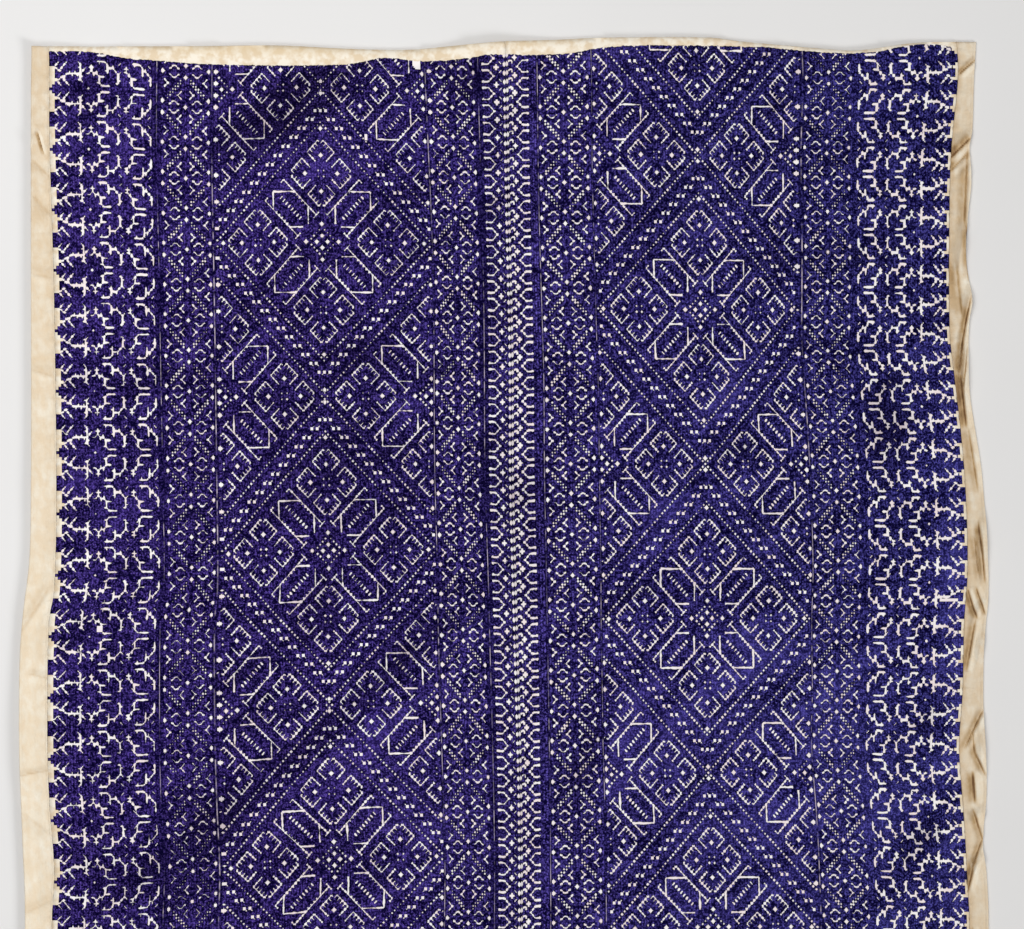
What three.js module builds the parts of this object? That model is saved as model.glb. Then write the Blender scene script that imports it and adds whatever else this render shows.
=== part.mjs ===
// Fez embroidery panel, lying face up: two narrow widths of cotton worked all over in indigo silk and joined down
// the middle, with a plain cotton strip sewn along each side.
// Millimetres. +X is to the right, +Y is towards the top edge, +Z is up, and the underside lies at z = 0.
// In the tables below, across is measured from the middle of the panel and down from its highest top corner.

import * as THREE from "three";

// Driving sizes
const PANEL_LENGTH = 950;
const CLOTH_THICKNESS = 1.6;
const EDGING_THICKNESS = 1.2;
const PIECE_GAP = 0.3;
const HEM_DEPTH = 5;
const HEM_EXTRA = 0.6;
const END_FADE = 60;
const SEAM_RISE = 0.7;
const SEAM_REACH = 15;

// Grid steps of the sheets
const CLOTH_ROWS = 62;
const CLOTH_COLUMNS = 14;
const LEFT_EDGING_COLUMNS = 2;
const RIGHT_EDGING_COLUMNS = 4;
const RIGHT_EDGING_FINENESS = 2;

// Line of the left side seam
const LEFT_SEAM = [
  { down: 0, across: -227.3 },
  { down: 46, across: -227.3 },
  { down: 131, across: -224.9 },
  { down: 231, across: -223.8 },
  { down: 276, across: -224.9 },
  { down: 292, across: -227.5 },
  { down: 348, across: -228.3 },
  { down: 382, across: -227.3 },
  { down: 415, across: -224.9 },
  { down: 441, across: -226 },
  { down: 530, across: -227.5 },
  { down: 660, across: -225.5 },
  { down: 790, across: -227.5 },
  { down: 950, across: -226 },
];

// Line of the middle seam
const MIDDLE_SEAM = [
  { down: 0, across: 0.3 },
  { down: 86, across: 1.6 },
  { down: 161, across: 3.3 },
  { down: 221, across: 3.5 },
  { down: 300, across: 5.6 },
  { down: 378, across: 7.7 },
  { down: 445, across: 8 },
  { down: 600, across: 6.5 },
  { down: 780, across: 7.2 },
  { down: 950, across: 5.5 },
];

// Line of the right side seam
const RIGHT_SEAM = [
  { down: 0, across: 225.5 },
  { down: 18, across: 226.6 },
  { down: 54, across: 223.3 },
  { down: 80, across: 222.3 },
  { down: 146, across: 222.3 },
  { down: 166, across: 224.3 },
  { down: 196, across: 227.8 },
  { down: 225, across: 230.2 },
  { down: 265, across: 231.3 },
  { down: 292, across: 229.6 },
  { down: 326, across: 228.8 },
  { down: 353, across: 227 },
  { down: 388, across: 229.3 },
  { down: 424, across: 231.3 },
  { down: 444, across: 232.2 },
  { down: 530, across: 230 },
  { down: 640, across: 228.2 },
  { down: 760, across: 230.3 },
  { down: 860, across: 228.4 },
  { down: 950, across: 229.6 },
];

// Outer edge of the left strip
const LEFT_EDGE = [
  { down: 0, across: -235.8 },
  { down: 30, across: -236.3 },
  { down: 231, across: -236.3 },
  { down: 262, across: -237.2 },
  { down: 287, across: -240.2 },
  { down: 310, across: -241.9 },
  { down: 361, across: -241.9 },
  { down: 400, across: -240.6 },
  { down: 436, across: -239.3 },
  { down: 540, across: -240.4 },
  { down: 680, across: -238.2 },
  { down: 810, across: -240.2 },
  { down: 950, across: -238 },
];

// Outer edge of the right strip
const RIGHT_EDGE = [
  { down: 0, across: 235.8 },
  { down: 22, across: 234.6 },
  { down: 46, across: 233.8 },
  { down: 54, across: 232.4 },
  { down: 72, across: 233.3 },
  { down: 92, across: 231.2 },
  { down: 112, across: 230.9 },
  { down: 132, across: 233.6 },
  { down: 141, across: 232.3 },
  { down: 164, across: 231.9 },
  { down: 180, across: 232.8 },
  { down: 213, across: 238 },
  { down: 226, across: 239.3 },
  { down: 254, across: 241.3 },
  { down: 278, across: 241.9 },
  { down: 302, across: 239.8 },
  { down: 332, across: 239.3 },
  { down: 374, across: 241 },
  { down: 404, across: 239 },
  { down: 416, across: 240.8 },
  { down: 444, across: 241.9 },
  { down: 520, across: 239.5 },
  { down: 575, across: 241.4 },
  { down: 630, across: 239 },
  { down: 690, across: 240.5 },
  { down: 745, across: 238.5 },
  { down: 800, across: 240.8 },
  { down: 850, across: 239.4 },
  { down: 900, across: 240.8 },
  { down: 950, across: 239.8 },
];

// Drop of the wavy top edge and rise of the bottom edge
const TOP_EDGE = [
  { across: -242, inset: 4.5 },
  { across: -77, inset: 4.5 },
  { across: -30, inset: 3.3 },
  { across: -2, inset: 1.5 },
  { across: 48, inset: 0 },
  { across: 102, inset: 0 },
  { across: 119, inset: 2 },
  { across: 163, inset: 6 },
  { across: 176, inset: 6.5 },
  { across: 206, inset: 2.6 },
  { across: 242, inset: 2 },
];
const BOTTOM_EDGE = [
  { across: -242, inset: 2.5 },
  { across: -120, inset: 0.6 },
  { across: -10, inset: 2.2 },
  { across: 110, inset: 0 },
  { across: 242, inset: 3 },
];

// Soft ridges: where each is centred, half its length and half its breadth, its turn in degrees from +X, its rise
const CLOTH_FOLDS = [
  { across: -97, down: 49, reach: 68, breadth: 26, turn: 23, rise: 2.8 },
  { across: -172, down: 242, reach: 54, breadth: 18, turn: 2, rise: 1.5 },
  { across: 4, down: 246, reach: 50, breadth: 18, turn: -4, rise: 1.7 },
  { across: 48, down: 366, reach: 50, breadth: 21, turn: 74, rise: 2.6 },
  { across: -138, down: 408, reach: 48, breadth: 24, turn: 42, rise: 2.4 },
  { across: 208, down: 186, reach: 36, breadth: 18, turn: 82, rise: 2.3 },
  { across: 212, down: 352, reach: 36, breadth: 17, turn: 45, rise: 2.2 },
  { across: 206, down: 416, reach: 42, breadth: 18, turn: 42, rise: 2.6 },
  { across: -60, down: 560, reach: 72, breadth: 24, turn: 28, rise: 2.4 },
  { across: 120, down: 640, reach: 62, breadth: 22, turn: 62, rise: 2.2 },
  { across: -150, down: 740, reach: 58, breadth: 22, turn: 12, rise: 2 },
  { across: 90, down: 845, reach: 66, breadth: 24, turn: 35, rise: 2.4 },
];
const RIGHT_EDGING_FOLDS = [
  { across: 231, down: 16, reach: 7, breadth: 3, turn: 37, rise: 1.2 },
  { across: 229, down: 51, reach: 9, breadth: 4.5, turn: 42, rise: 2.6 },
  { across: 229.5, down: 68, reach: 8, breadth: 3.5, turn: 42, rise: 1.6 },
  { across: 228, down: 106, reach: 24, breadth: 3.5, turn: 82, rise: 3.4 },
  { across: 232, down: 131, reach: 12, breadth: 3.5, turn: 78, rise: 3 },
  { across: 229.8, down: 167, reach: 24, breadth: 3, turn: 92, rise: 3.6 },
  { across: 239.4, down: 253, reach: 24, breadth: 3.5, turn: 88, rise: 3.2 },
  { across: 236.4, down: 287, reach: 11, breadth: 3.5, turn: 60, rise: 2.8 },
  { across: 237.5, down: 305, reach: 15, breadth: 3, turn: 80, rise: 2.6 },
  { across: 238.6, down: 353, reach: 22, breadth: 3.5, turn: 92, rise: 3.2 },
  { across: 235.6, down: 389, reach: 9, breadth: 4, turn: 38, rise: 2.6 },
  { across: 236.5, down: 413, reach: 14, breadth: 3.5, turn: 60, rise: 3 },
  { across: 237, down: 478, reach: 24, breadth: 3.5, turn: 84, rise: 3 },
  { across: 234.5, down: 545, reach: 20, breadth: 4, turn: 62, rise: 2.6 },
  { across: 235.5, down: 618, reach: 26, breadth: 3.5, turn: 92, rise: 3.2 },
  { across: 234.5, down: 700, reach: 22, breadth: 4, turn: 70, rise: 2.6 },
  { across: 235.5, down: 775, reach: 24, breadth: 3.5, turn: 96, rise: 3 },
  { across: 234.5, down: 862, reach: 26, breadth: 4, turn: 78, rise: 2.8 },
];

// Value of one column of a table at a place along its key column, on a smooth curve through the rows
function tableValue(table, key, column, place) {
  const last = table.length - 1;
  const inside = Math.min(Math.max(place, table[0][key]), table[last][key]);
  let row = 0;
  while (row < last - 1 && table[row + 1][key] < inside) {
    row += 1;
  }
  const slopeAt = (index) => {
    const before = table[Math.max(index - 1, 0)];
    const after = table[Math.min(index + 1, last)];
    return (after[column] - before[column]) / (after[key] - before[key]);
  };
  const start = table[row];
  const end = table[row + 1];
  const span = end[key] - start[key];
  const t = (inside - start[key]) / span;
  const startWeight = (1 + 2 * t) * (1 - t) ** 2;
  const endWeight = t * t * (3 - 2 * t);
  const startSlopeWeight = t * (1 - t) ** 2 * span;
  const endSlopeWeight = -t * t * (1 - t) * span;
  return (
    start[column] * startWeight +
    end[column] * endWeight +
    slopeAt(row) * startSlopeWeight +
    slopeAt(row + 1) * endSlopeWeight
  );
}

const acrossOf = (table) => (down) => tableValue(table, "down", "across", down);
const insetOf = (table, across) => tableValue(table, "across", "inset", across);

// One at the middle of a soft bump and zero from one reach away, smooth at both
function bump(distance, reach) {
  const t = Math.min(Math.abs(distance) / reach, 1);
  return Math.cos((t * Math.PI) / 2) ** 2;
}

// Height of the underside above the surface that the panel lies on
function foldRise(folds, across, down) {
  let rise = 0;
  for (const fold of folds) {
    const turn = THREE.MathUtils.degToRad(fold.turn);
    const dx = across - fold.across;
    const dy = fold.down - down;
    const along = dx * Math.cos(turn) + dy * Math.sin(turn);
    const aside = dy * Math.cos(turn) - dx * Math.sin(turn);
    rise += fold.rise * bump(along, fold.reach) * bump(aside, fold.breadth);
  }
  return rise;
}

// The seam allowance under the middle joint lifts the cloth a little
function seamRise(across, down) {
  return SEAM_RISE * bump(across - acrossOf(MIDDLE_SEAM)(down), SEAM_REACH);
}

// Rows of the grid, from the top to the bottom, with one row at each hem's fold line
function rowPlaces(rows) {
  const places = [0];
  const middle = PANEL_LENGTH - 2 * HEM_DEPTH;
  for (let row = 0; row <= rows; row += 1) {
    places.push(HEM_DEPTH + (middle * row) / rows);
  }
  places.push(PANEL_LENGTH);
  return places;
}

// The hems are double cloth along the top and the bottom
function clothThickness(place) {
  const toEnd = Math.min(place, PANEL_LENGTH - place);
  return toEnd > HEM_DEPTH ? CLOTH_THICKNESS : CLOTH_THICKNESS + HEM_EXTRA;
}

// A closed sheet between two lines that run down the panel
function sheetGeometry({ left, right, columns, rows, thickness, rise }) {
  const places = rowPlaces(rows);
  const upper = [];
  const lower = [];
  for (const place of places) {
    const toBottom = PANEL_LENGTH - place;
    const topPull = Math.max(0, 1 - place / END_FADE);
    const bottomPull = Math.max(0, 1 - toBottom / END_FADE);
    for (let column = 0; column <= columns; column += 1) {
      const share = column / columns;
      const nearly = THREE.MathUtils.lerp(left(place), right(place), share);
      const down = place + topPull * insetOf(TOP_EDGE, nearly) - bottomPull * insetOf(BOTTOM_EDGE, nearly);
      const across = THREE.MathUtils.lerp(left(down), right(down), share);
      const base = rise(across, down);
      const y = PANEL_LENGTH / 2 - down;
      lower.push([across, y, base]);
      upper.push([across, y, base + thickness(place)]);
    }
  }
  const faces = [];
  const quad = (a, b, c, d) => faces.push([a, b, c], [a, c, d]);
  const stride = columns + 1;
  const lastRow = places.length - 1;
  const under = upper.length;
  for (let row = 0; row < lastRow; row += 1) {
    for (let column = 0; column < columns; column += 1) {
      const corner = row * stride + column;
      const below = corner + stride;
      quad(corner, below, below + 1, corner + 1);
      quad(under + corner, under + corner + 1, under + below + 1, under + below);
    }
    const leftEnd = row * stride;
    const rightEnd = leftEnd + columns;
    quad(leftEnd, under + leftEnd, under + leftEnd + stride, leftEnd + stride);
    quad(rightEnd, rightEnd + stride, under + rightEnd + stride, under + rightEnd);
  }
  for (let column = 0; column < columns; column += 1) {
    const bottom = lastRow * stride + column;
    quad(column, column + 1, under + column + 1, under + column);
    quad(bottom, under + bottom, under + bottom + 1, bottom + 1);
  }
  const geometry = new THREE.BufferGeometry();
  geometry.setAttribute("position", new THREE.Float32BufferAttribute([...upper, ...lower].flat(), 3));
  geometry.setIndex(faces.flat());
  geometry.computeVertexNormals();
  return geometry;
}

// A line moved sideways, to leave half the gap between two pieces on each side of their seam
const shifted = (line, by) => (down) => line(down) + by;

const leftSeam = acrossOf(LEFT_SEAM);
const middleSeam = acrossOf(MIDDLE_SEAM);
const rightSeam = acrossOf(RIGHT_SEAM);
const halfGap = PIECE_GAP / 2;

const clothRise = (across, down) => foldRise(CLOTH_FOLDS, across, down) + seamRise(across, down);
const edgingRise = (across, down) => clothRise(across, down) + foldRise(RIGHT_EDGING_FOLDS, across, down);

function addPiece(name, material, sheet) {
  const mesh = new THREE.Mesh(sheetGeometry(sheet), material);
  mesh.name = name;
  panel.add(mesh);
}

const silkMaterial = () => new THREE.MeshStandardMaterial({ color: 0x2d1e7d, roughness: 0.6, metalness: 0 });
const cottonMaterial = () => new THREE.MeshStandardMaterial({ color: 0xebdcc3, roughness: 0.9, metalness: 0 });

const panel = new THREE.Group();

addPiece("left_width", silkMaterial(), {
  left: shifted(leftSeam, halfGap),
  right: shifted(middleSeam, -halfGap),
  columns: CLOTH_COLUMNS,
  rows: CLOTH_ROWS,
  thickness: clothThickness,
  rise: clothRise,
});

addPiece("right_width", silkMaterial(), {
  left: shifted(middleSeam, halfGap),
  right: shifted(rightSeam, -halfGap),
  columns: CLOTH_COLUMNS,
  rows: CLOTH_ROWS,
  thickness: clothThickness,
  rise: clothRise,
});

addPiece("left_edging", cottonMaterial(), {
  left: acrossOf(LEFT_EDGE),
  right: shifted(leftSeam, -halfGap),
  columns: LEFT_EDGING_COLUMNS,
  rows: CLOTH_ROWS,
  thickness: () => EDGING_THICKNESS,
  rise: clothRise,
});

addPiece("right_edging", cottonMaterial(), {
  left: shifted(rightSeam, halfGap),
  right: acrossOf(RIGHT_EDGE),
  columns: RIGHT_EDGING_COLUMNS,
  rows: CLOTH_ROWS * RIGHT_EDGING_FINENESS,
  thickness: () => EDGING_THICKNESS,
  rise: edgingRise,
});

// The panel is centred over the origin
const box = new THREE.Box3().setFromObject(panel);
const centre = box.getCenter(new THREE.Vector3());
panel.position.set(-centre.x, -centre.y, -box.min.z);

export default panel;
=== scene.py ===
import math
from dataclasses import dataclass

import bpy
import numpy as np
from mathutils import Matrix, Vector


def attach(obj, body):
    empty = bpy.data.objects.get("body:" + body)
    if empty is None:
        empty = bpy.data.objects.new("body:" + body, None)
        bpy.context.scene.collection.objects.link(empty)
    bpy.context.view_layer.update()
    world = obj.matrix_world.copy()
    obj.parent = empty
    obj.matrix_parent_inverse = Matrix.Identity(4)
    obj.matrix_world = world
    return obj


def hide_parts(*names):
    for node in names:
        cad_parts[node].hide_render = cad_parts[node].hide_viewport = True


# Looks of the fez embroidery panel. The tables are in millimetres: across is measured from the middle of the
# panel, down from its highest top corner. The pattern is charted in stitch steps, each a column or a row.
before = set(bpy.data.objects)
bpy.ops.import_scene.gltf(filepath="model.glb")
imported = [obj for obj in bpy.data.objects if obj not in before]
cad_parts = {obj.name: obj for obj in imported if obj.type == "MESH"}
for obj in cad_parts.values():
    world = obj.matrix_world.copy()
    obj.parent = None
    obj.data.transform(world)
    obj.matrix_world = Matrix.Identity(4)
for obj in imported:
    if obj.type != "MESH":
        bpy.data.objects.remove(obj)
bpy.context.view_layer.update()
MM = 0.001

# Driving sizes of the cloth
PANEL_LENGTH = 950
CLOTH_THICKNESS = 1.6
EDGING_THICKNESS = 1.2
PIECE_GAP = 0.06
HEM_DEPTH = 5
HEM_EXTRA = 0.6
EDGE_ROUND = 0.4
BOTTOM_BARE = 4.5
SEAM_RISE = 0.7
SEAM_REACH = 15

# Rows of stitches above and below the row that lies level across the panel
FIRST_ROW = -126
LAST_ROW = 540
# A face of the cloth takes in two by two stitches, and two codes fit in one number
CELLS = 2
CODE_STEP = 512
# Least upward share of a face's direction that is shaded as part of the soft surface, not as a cut side
STEEP = 0.5
# Vertices of a line that are closer than this, in millimetres, are one
SAME_PLACE = 1e-6


# Rows by the names of their columns
def table(names, *rows):
    return [dict(zip(names.split(), row)) for row in rows]


# Line of the left side seam
LEFT_SEAM = table(
    "down across",
    (0, -227.3),
    (46, -227.3),
    (131, -224.9),
    (231, -223.8),
    (276, -224.9),
    (292, -227.5),
    (348, -228.3),
    (382, -227.3),
    (415, -224.9),
    (441, -226),
    (530, -227.5),
    (660, -225.5),
    (790, -227.5),
    (950, -226),
)

# Line of the middle seam
MIDDLE_SEAM = table(
    "down across",
    (0, 0.3),
    (86, 1.6),
    (161, 3.3),
    (221, 3.5),
    (300, 5.6),
    (378, 7.7),
    (445, 8),
    (600, 6.5),
    (780, 7.2),
    (950, 5.5),
)

# Line of the right side seam
RIGHT_SEAM = table(
    "down across",
    (0, 225.5),
    (18, 226.6),
    (54, 223.3),
    (80, 222.3),
    (146, 222.3),
    (166, 224.3),
    (196, 227.8),
    (225, 230.2),
    (265, 231.3),
    (292, 229.6),
    (326, 228.8),
    (353, 227),
    (388, 229.3),
    (424, 231.3),
    (444, 232.2),
    (530, 230),
    (640, 228.2),
    (760, 230.3),
    (860, 228.4),
    (950, 229.6),
)

# Outer edge of the left strip
LEFT_EDGE = table(
    "down across",
    (0, -235.8),
    (30, -236.3),
    (231, -236.3),
    (262, -237.2),
    (287, -240.2),
    (310, -241.9),
    (361, -241.9),
    (400, -240.6),
    (436, -239.3),
    (540, -240.4),
    (680, -238.2),
    (810, -240.2),
    (950, -238),
)

# Outer edge of the right strip
RIGHT_EDGE = table(
    "down across",
    (0, 235.8),
    (22, 234.6),
    (46, 233.8),
    (54, 232.4),
    (72, 233.3),
    (92, 231.2),
    (112, 230.9),
    (132, 233.6),
    (141, 232.3),
    (164, 231.9),
    (180, 232.8),
    (213, 238),
    (226, 239.3),
    (254, 241.3),
    (278, 241.9),
    (302, 239.8),
    (332, 239.3),
    (374, 241),
    (404, 239),
    (416, 240.8),
    (444, 241.9),
    (520, 239.5),
    (575, 241.4),
    (630, 239),
    (690, 240.5),
    (745, 238.5),
    (800, 240.8),
    (850, 239.4),
    (900, 240.8),
    (950, 239.8),
)

# Drop of the wavy top edge and rise of the bottom edge
TOP_EDGE = table(
    "across inset",
    (-242, 4.5),
    (-150, 4.2),
    (-112, 4),
    (-77, 5.6),
    (-47, 6),
    (-30, 4.6),
    (-12, 3),
    (0, 2.2),
    (28, 1),
    (48, 0),
    (102, 0),
    (119, 2),
    (163, 6),
    (176, 6.5),
    (206, 2.6),
    (242, 2),
)
BOTTOM_EDGE = table(
    "across inset",
    (-242, 2.5),
    (-120, 0.6),
    (-10, 2.2),
    (110, 0),
    (242, 3),
)

# First row of the silk below the top of the cloth, with a notch where the work was left bare
SILK_TOP = table(
    "across down",
    (-227, 7.2),
    (-208, 7.2),
    (-190, 10.2),
    (-174, 11.5),
    (-145, 13.5),
    (-80, 13.5),
    (-60, 10.2),
    (-46, 11.5),
    (-40, 12),
    (-16, 10.2),
    (-10, 8.8),
    (28, 8.4),
    (48, 5.2),
    (73, 4),
    (129, 5),
    (146, 6.5),
    (167, 8),
    (183, 7.5),
    (203, 4),
    (217, 3.5),
    (230, 7.5),
)

# Patches where the silk is worn away and the bare cloth shows
WORN_PATCHES = table(
    "across down wide high",
    (-43.8, 12, 3.8, 8.5),
    (-69, 49.5, 2.2, 2.8),
    (221.4, 280.3, 15, 1.5),
    (-202.5, 295.5, 3, 2.6),
)

# Soft ridges: where each is centred, half its length, half its breadth, its turn in degrees from +X, its rise
CLOTH_FOLDS = table(
    "across down reach breadth turn rise",
    (-97, 49, 68, 26, 23, 2.8),
    (-172, 242, 54, 18, 2, 1.5),
    (4, 246, 50, 18, -4, 1.7),
    (48, 366, 50, 21, 74, 2.6),
    (-138, 408, 48, 24, 42, 2.4),
    (208, 186, 36, 18, 82, 2.3),
    (212, 352, 36, 17, 45, 2.2),
    (206, 416, 42, 18, 42, 2.6),
    (-60, 560, 72, 24, 28, 2.4),
    (120, 640, 62, 22, 62, 2.2),
    (-150, 740, 58, 22, 12, 2),
    (90, 845, 66, 24, 35, 2.4),
)
HEM_FOLDS = table(
    "across down reach breadth turn rise",
    (-4, 0, 40, 13, 3, 2.6),
    (92, -2, 50, 9, 0, 0.8),
    (-120, 2, 60, 9, 0, 0.6),
    (168, 0, 60, 13, 0, 1.8),
    (-228, 0, 26, 16, 0, 1.4),
    (60, 950, 60, 12, 0, 1.4),
    (-130, 950, 50, 10, 0, 1),
)
LEFT_EDGING_FOLDS = table(
    "across down reach breadth turn rise",
    (-235.5, 52, 12, 2.2, 62, 0.9),
    (-239, 120, 60, 4, 90, 1),
    (-241, 262, 60, 4, 84, 1.2),
    (-243, 352, 50, 5, 90, 1.3),
    (-236, 318, 5, 1.6, 8, 0.6),
    (-234, 401, 5, 1.6, -10, 0.6),
    (-241, 520, 60, 4, 90, 1.1),
    (-241, 700, 60, 4, 90, 1.2),
    (-241, 860, 50, 4, 90, 1),
)
RIGHT_EDGING_FOLDS = table(
    "across down reach breadth turn rise",
    (231, 16, 7, 3, 37, 1.2),
    (229, 51, 9, 4.5, 42, 2.6),
    (229.5, 68, 8, 3.5, 42, 1.6),
    (228, 106, 24, 3.5, 82, 3.4),
    (232, 131, 12, 3.5, 78, 3),
    (229.8, 167, 24, 3, 92, 3.6),
    (239.4, 253, 24, 3.5, 88, 3.2),
    (236.4, 287, 11, 3.5, 60, 2.8),
    (237.5, 305, 15, 3, 80, 2.6),
    (238.6, 353, 22, 3.5, 92, 3.2),
    (235.6, 389, 9, 4, 38, 2.6),
    (236.5, 413, 14, 3.5, 60, 3),
    (237, 478, 24, 3.5, 84, 3),
    (234.5, 545, 20, 4, 62, 2.6),
    (235.5, 618, 26, 3.5, 92, 3.2),
    (234.5, 700, 22, 4, 70, 2.6),
    (235.5, 775, 24, 3.5, 96, 3),
    (234.5, 862, 26, 4, 78, 2.8),
)

# Sharp creases of the strips, from one end to the other, with half the breadth, the depth and the strength of
# the painted tan shade and highlight
LEFT_CREASES = table(
    "across down to_across to_down breadth depth shade",
    (-232.8, 48.5, -230.6, 56.8, 0.5, 0.6, 0.9),
    (-235.3, 61.8, -227.8, 69.3, 1.7, 0.6, 0.22),
    (-235.3, 79, -227, 89, 2.2, 0.6, 0.18),
    (-235, 118, -226, 120, 1.6, 0.5, 0.16),
    (-235.6, 166, -226, 169, 1.4, 0.5, 0.16),
    (-240.8, 296, -228.3, 276, 1.6, 0.7, 0.22),
    (-236, 318, -229, 320, 1.2, 0.6, 0.22),
    (-241.6, 368.5, -228, 366, 1.1, 0.6, 0.3),
    (-240, 387.7, -228, 397.7, 2, 0.6, 0.16),
    (-238.5, 437, -227, 431, 1.4, 0.6, 0.18),
    (-240, 505, -228, 512, 1.8, 0.6, 0.16),
    (-239.5, 588, -227, 580, 1.4, 0.6, 0.22),
    (-238, 676, -227, 684, 1.8, 0.6, 0.16),
    (-239.8, 801, -228.5, 792, 1.5, 0.6, 0.22),
    (-238.5, 896, -227.5, 902, 1.6, 0.6, 0.16),
)
RIGHT_CREASES = table(
    "across down to_across to_down breadth depth shade",
    (227.8, 17.7, 234.4, 11.8, 1, 1, 0.7),
    (223.5, 59.3, 231.9, 51, 1.3, 1.6, 0.9),
    (223.5, 66, 231, 58, 1.3, 1, 0.5),
    (231.4, 52, 229.6, 97, 1.7, 1.2, 0.6),
    (230.4, 92, 231.6, 120, 1.1, 1.4, 0.8),
    (225.4, 112, 228.8, 140, 1.8, 0.8, 0.5),
    (232.6, 130, 228.6, 153, 1.1, 1.6, 0.9),
    (229, 150, 227.2, 167, 1.1, 1.6, 0.9),
    (231, 155, 229, 174, 0.9, 1.3, 0.8),
    (227.6, 168, 230.6, 194, 1.3, 1.6, 0.9),
    (231.8, 196, 236.4, 226, 1.3, 1.2, 0.6),
    (236.8, 243, 239.8, 271, 1.1, 1.6, 1),
    (234.8, 250, 237.2, 270, 1, 1, 0.6),
    (231.8, 277, 235.4, 289, 1.1, 1.4, 0.9),
    (236, 276, 239.6, 287, 1, 1.2, 0.8),
    (235.2, 291, 231, 315, 1.2, 1.6, 0.8),
    (230.4, 354, 238.6, 337, 1.2, 1.6, 0.8),
    (233.9, 348, 235, 359, 1.1, 1.2, 0.8),
    (235, 357, 239.4, 367, 1.1, 1.2, 0.7),
    (233.9, 368, 234.9, 381, 1.5, 1.2, 1),
    (234.4, 387, 238.6, 400, 1.2, 1.3, 0.8),
    (238.4, 401, 234, 414, 1.1, 1.4, 0.8),
    (234.4, 412, 231.8, 425, 1.2, 1.2, 0.7),
    (234, 446, 237.8, 470, 1.2, 1.5, 0.8),
    (236.6, 492, 232.6, 518, 1.2, 1.5, 0.8),
    (232.4, 552, 239, 540, 1.2, 1.5, 0.8),
    (236, 570, 234, 604, 1.3, 1.3, 0.7),
    (231, 652, 236.6, 634, 1.2, 1.5, 0.8),
    (235, 672, 237.6, 700, 1.2, 1.3, 0.7),
    (232.8, 742, 236.4, 720, 1.3, 1.5, 0.8),
    (236.8, 768, 233.6, 794, 1.1, 1.4, 0.8),
    (231.6, 840, 237, 826, 1.2, 1.5, 0.8),
    (234.6, 872, 236.8, 908, 1.3, 1.2, 0.7),
)

# Where the lines between the bands lie across the panel, at five places down it
BAND_PLACES = dict(top=13.5, high=101, middle=176, low=286, deep=406)
LEFT_BAND_LINES = table(
    "step top high middle low deep",
    (38, -176, -175, -173.5, -173.2, -172.2),
    (41, -171.2, -170.8, -169.5, -169.5, -168),
    (60, -147, -146.5, -145.2, -145.5, -143.5),
    (61, -144.5, -143.8, -142.8, -142.2, -140.2),
    (100.5, -91.8, -91.1, -89.8, -88, -85),
    (140, -40.8, -36.8, -35.8, -34, -30.5),
    (141, -38.2, -35.2, -34.2, -32, -29),
    (160, -15.2, -13, -12.2, -9.8, -7),
    (163, -11.6, -9, -7.8, -5.6, -3),
)
RIGHT_BAND_LINES = table(
    "step top high middle low deep",
    (10, 13.2, 14.5, 16, 17.8, 19.2),
    (13, 16.8, 18.2, 20.5, 22, 23.8),
    (32, 41.8, 43, 45, 46.5, 48.5),
    (34, 43.8, 45.2, 47.5, 48.8, 51.2),
    (74.5, 96, 97.6, 99, 101.2, 103.5),
    (115, 146.8, 146.2, 148.5, 153, 155.5),
    (116, 150, 149.8, 151, 154.2, 157.8),
    (135, 173.5, 173.2, 174.5, 177.8, 181.2),
    (138, 176.5, 176.2, 177.8, 181, 184.2),
)

# Where row 0 lies, and the height of a row above it and below it
LEFT_ROWS = table(
    "step level above below",
    (0, 176.65, 1.51, 1.532),
    (20, 176.65, 1.51, 1.532),
    (50, 176.75, 1.478, 1.516),
    (100, 176.05, 1.482, 1.484),
    (150, 176.45, 1.46, 1.47),
    (172, 177.9, 1.468, 1.467),
)
RIGHT_ROWS = table(
    "step level above below",
    (0, 177.6, 1.468, 1.467),
    (22, 176.3, 1.464, 1.466),
    (74, 176.65, 1.454, 1.454),
    (125, 176.75, 1.45, 1.455),
    (156, 177, 1.45, 1.463),
    (176, 177, 1.45, 1.463),
)


# Value of one column of a table at places along its key column, on a smooth curve through the rows
def table_value(rows, key, column, place):
    keys = np.array([row[key] for row in rows], float)
    values = np.array([row[column] for row in rows], float)
    last = len(rows) - 1
    order = np.arange(last + 1)
    before = np.maximum(order - 1, 0)
    after = np.minimum(order + 1, last)
    slopes = (values[after] - values[before]) / (keys[after] - keys[before])
    inside = np.clip(place, keys[0], keys[last])
    index = np.clip(np.searchsorted(keys, inside) - 1, 0, last - 1)
    span = keys[index + 1] - keys[index]
    t = (inside - keys[index]) / span
    start = values[index] * (1 + 2 * t) * (1 - t) ** 2
    end = values[index + 1] * t * t * (3 - 2 * t)
    start_slope = slopes[index] * t * (1 - t) ** 2 * span
    end_slope = -slopes[index + 1] * t * t * (1 - t) * span
    return start + end + start_slope + end_slope


def line(rows, by=0.0):
    return lambda down: table_value(rows, "down", "across", down) + by


def inset(rows, across):
    return table_value(rows, "across", "inset", across)


# One at the middle of a soft bump and zero from one reach away
def bump(distance, reach):
    t = np.minimum(np.abs(distance) / reach, 1)
    return np.cos(t * math.pi / 2) ** 2


# Sum of soft oval patches at places on the panel
def soft_patches(patches, value, across, down):
    total = np.zeros(np.shape(across))
    for patch in patches:
        turn = math.radians(patch["turn"])
        dx = across - patch["across"]
        dy = patch["down"] - down
        along = dx * math.cos(turn) + dy * math.sin(turn)
        aside = dy * math.cos(turn) - dx * math.sin(turn)
        total += patch[value] * bump(along, patch["reach"]) * bump(aside, patch["breadth"])
    return total


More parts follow.
